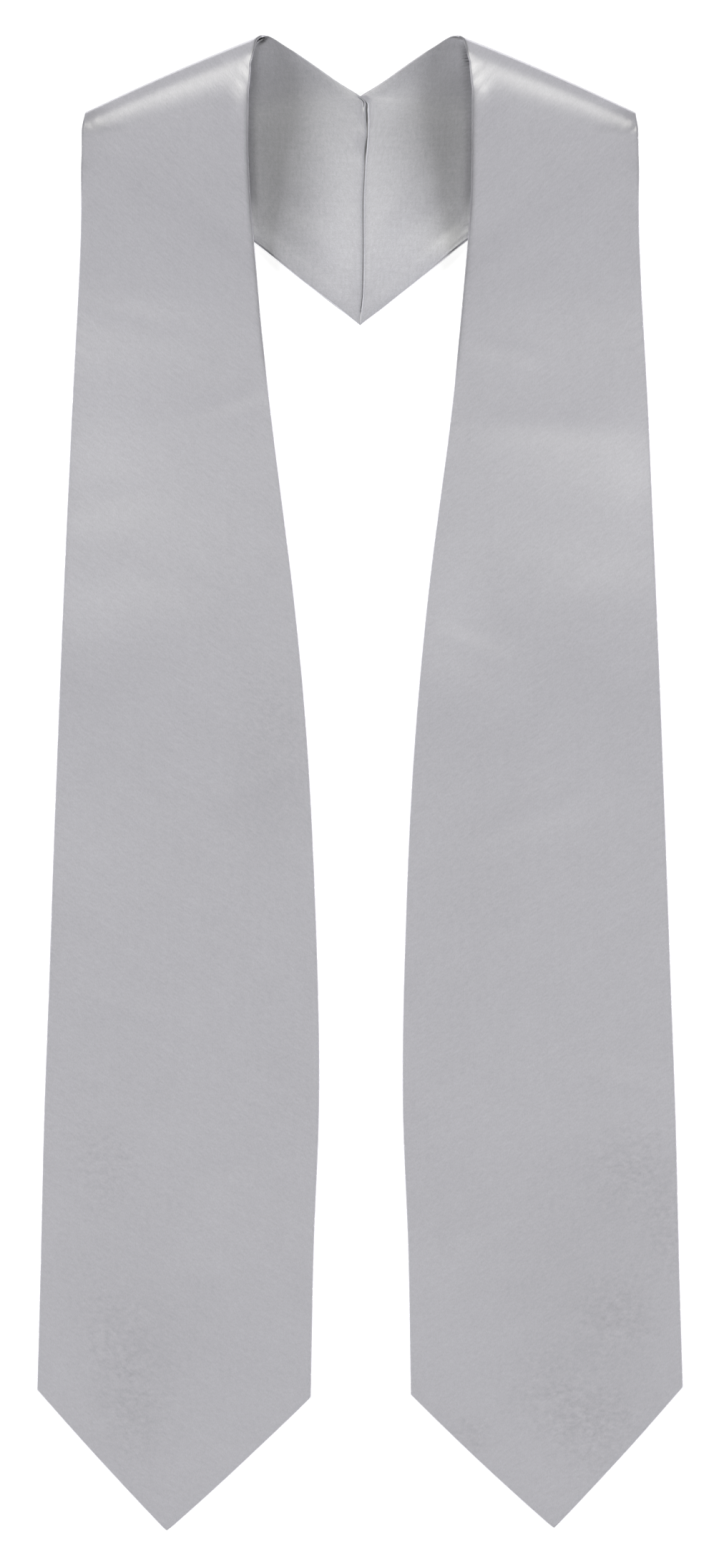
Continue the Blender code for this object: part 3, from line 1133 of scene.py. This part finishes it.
# %% The satin finish
MOTTLED = (
    # x, y, half width, half length, strength, all in plan millimetres
    (-136, -206, 30, 38, 0.6),
    (-132, -294, 34, 44, 0.6),
    (-120, -334, 36, 42, 0.6),
    (144, -204, 36, 38, 0.7),
    (164, -238, 20, 42, 0.6),
    (138, -284, 36, 34, 0.7),
    (108, -326, 52, 38, 0.6),
    (128, -350, 44, 32, 0.6),
    (58, -350, 20, 20, 0.6),
    (-46, 30, 30, 56, 0.4),
)
SATIN_ROUGHNESS = 0.22
SATIN_METALLIC = 0.3
SHEEN = 0.05
SHEEN_ROUGHNESS = 0.45
SPECULAR = 1.0
# How much each unevenness changes the tone, as a share of the whole tone.
FLOAT_TONE, SLUB_TONE = 0.13, 0.09
STREAK_TONE, BAR_TONE, CLOUD_TONE = 0.05, 0.06, 0.08
MOTTLE_TONE = 0.52
MOTTLE_LEVEL = 0.38  # noise below this makes a creased place lighter, above it darker
# How much it changes the roughness, and how high it stands.
FLOAT_GLOSS, MOTTLE_GLOSS = 0.10, 0.03
SLUB_LIFT = 0.8  # height of a slub, where a float's is 1
WEAVE_LIFT = 0.06 * MM
WEAVE_STRENGTH = 0.3


def satin(name, colour, grain, crinkle):
    """A satin of one colour. grain: how lively its yarns are; crinkle: how much its fine creases show."""
    material = bpy.data.materials.new(name)
    material.use_nodes = True
    tree = material.node_tree
    cloth = Socket.of(tree, "ShaderNodeUVMap", {"uv_map": "cloth"})
    place = Socket.of(tree, "ShaderNodeTexCoord", output="Object")

    floats = noise(tree, cloth, FLOAT_SIZE)
    slubs = noise(tree, cloth, SLUB_SIZE)
    clouds = noise(tree, place, (CLOUD_SIZE, CLOUD_SIZE))
    streaks = noise(tree, cloth, STREAK_SIZE, 3.0)
    bars = noise(tree, cloth, BAR_SIZE, 3.0)
    crinkles = noise(tree, place, CRINKLE_SIZE, 3.0)
    mottle = noise(tree, place, MOTTLE_SIZE, 3.0)
    mottled = sum(
        strength * patch(tree, place, (x * MM, y * MM), (wide * MM, long * MM))
        for x, y, wide, long, strength in MOTTLED
    )
    fine = (
        (floats - 0.5) * (FLOAT_TONE * grain)
        + (slubs - 0.5) * (SLUB_TONE * grain)
        + (crinkles - 0.5) * crinkle
    )
    slow = (streaks - 0.5) * STREAK_TONE + (bars - 0.5) * BAR_TONE + (clouds - 0.5) * CLOUD_TONE
    tone = 1.0 + fine + slow - mottled * (mottle - MOTTLE_LEVEL) * MOTTLE_TONE
    # The painted light and shade written on the mesh scale the tone.
    darkness = Socket.of(tree, "ShaderNodeAttribute", {"attribute_name": "shade"}, output="Fac")
    tone = tone * (1.0 - darkness)
    grey = Socket.of(tree, "ShaderNodeCombineColor", None, {0: tone, 1: tone, 2: tone})
    shade = Socket.of(  # a Mix node's colours are its inputs 6 and 7 and its output 2
        tree,
        "ShaderNodeMix",
        {"data_type": "RGBA", "blend_type": "MULTIPLY"},
        {0: 1.0, 6: (*colour, 1.0), 7: grey},
        output=2,
    )
    rough = SATIN_ROUGHNESS + (floats - 0.5) * FLOAT_GLOSS + mottled * MOTTLE_GLOSS
    height = floats + slubs * SLUB_LIFT
    weave = Socket.of(
        tree,
        "ShaderNodeBump",
        None,
        {"Strength": WEAVE_STRENGTH, "Distance": WEAVE_LIFT, "Height": height},
    )
    shader = tree.nodes["Principled BSDF"]
    for socket, value in (("Base Color", shade), ("Roughness", rough), ("Normal", weave)):
        tree.links.new(value.link, shader.inputs[socket])
    shader.inputs["Sheen Weight"].default_value = SHEEN
    shader.inputs["Sheen Roughness"].default_value = SHEEN_ROUGHNESS
    shader.inputs["Specular IOR Level"].default_value = SPECULAR
    shader.inputs["Metallic"].default_value = SATIN_METALLIC
    return material


face_satin = satin("face_satin", (0.422, 0.418, 0.448), grain=1.9, crinkle=0.03)
lining_satin = satin("lining_satin", (0.420, 0.418, 0.448), grain=2.5, crinkle=0.13)
print("finishes:", face_satin.name, lining_satin.name)

# %% [markdown]
# ## The four pieces
# Each layer stands for its solid and rides on the stole's one body.

for half in ("left", "right"):
    for layer, side, finish, under in (
        ("face", 1, face_satin, f"lining_{half}"),
        ("lining", -1, lining_satin, f"face_{half}"),
    ):
        name = f"{layer}_{half}"
        piece = make_layer(name, half, side)
        piece.data.materials.append(finish)
        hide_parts(name)
        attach(piece, "root")

# %% [markdown]
# ## Table, light and camera
# The stole lies on a pale table that glows, as a light table does, so that the ground stays white. Two
# lights from low on both sides give most of the brightness, and they leave the back band darker beside
# the raised panels. They are hidden from gloss, so that the satin gleams in one light only. That is the
# main light, high up behind the neck, broad and slightly warm: it strikes the shoulder rolls at the angle
# where satin shines.

# %% The table
TABLE_HALF = 6.0
TABLE_DROP = 0.05 * MM
bpy.ops.mesh.primitive_plane_add(size=2 * TABLE_HALF, location=(0, 0, -TABLE_DROP))
table = bpy.context.object
table.name = "table"
table_finish = bpy.data.materials.new("pale_table")
table_finish.use_nodes = True
table_shader = table_finish.node_tree.nodes["Principled BSDF"]
table_shader.inputs["Base Color"].default_value = (0.35, 0.35, 0.35, 1)
table_shader.inputs["Roughness"].default_value = 0.9
table_shader.inputs["Emission Color"].default_value = (1, 1, 1, 1)
table_shader.inputs["Emission Strength"].default_value = 0.86
table.data.materials.append(table_finish)
print(f"table: {2 * TABLE_HALF:.0f} m wide")


# %% Lights
def add_light(name, strength, towards, from_vertical, spread, gleams, colour):
    """A broad light far away. towards is the side it stands on: 0 is +X, and 90 is behind the neck."""
    lamp = bpy.data.lights.new(name, "SUN")
    lamp.energy = strength
    lamp.angle = math.radians(spread)
    lamp.color = colour
    light = bpy.data.objects.new(name, lamp)
    light.rotation_euler = (0, math.radians(from_vertical), math.radians(towards))
    light.visible_glossy = gleams
    bpy.context.scene.collection.objects.link(light)


LIGHTS = (
    # name, strength, side, degrees from vertical, spread, whether the satin mirrors it, colour
    ("main_light", 0.475, 90, 22.0, 26, True, (1.0, 1.0, 0.88)),
    ("left_light", 9.12, 180, 75.5, 22, False, (1.0, 1.0, 1.0)),
    ("right_light", 9.12, 0, 75.5, 22, False, (1.0, 1.0, 1.0)),
)
for light in LIGHTS:
    add_light(*light)

world = bpy.data.worlds.new("pale_room")
world.use_nodes = True
background = world.node_tree.nodes["Background"]
background.inputs["Color"].default_value = (1.0, 1.0, 1.0, 1)
background.inputs["Strength"].default_value = 0.03
bpy.context.scene.world = world
bpy.context.scene.view_settings.view_transform = "Standard"
print("lights:", *[light[0] for light in LIGHTS])

# %% Camera
IMAGE = (1005, 2192)
CENTRE_LINE = 503.7  # where the stole's centre line, its top and its points are in the image
TOP, POINTS = 50, 2140
DISTANCE = 5.0
pixel = LENGTH / (POINTS - TOP)
across_middle = (cad_box[0][0] + cad_box[1][0]) / 2
down_middle = (cad_box[0][1] + cad_box[1][1]) / 2
camera_data = bpy.data.cameras.new("camera")
camera_data.sensor_width = 36.0
camera_data.lens = camera_data.sensor_width * DISTANCE / (IMAGE[1] * pixel)
camera_data.clip_end = 50.0
camera = bpy.data.objects.new("camera", camera_data)
camera.location = (
    across_middle + (IMAGE[0] / 2 - CENTRE_LINE) * pixel,
    down_middle - (IMAGE[1] / 2 - (TOP + POINTS) / 2) * pixel,
    DISTANCE,
)
bpy.context.scene.collection.objects.link(camera)
bpy.context.scene.camera = camera
print(f"camera: {camera_data.lens:.1f} mm lens, straight down from {DISTANCE} m")
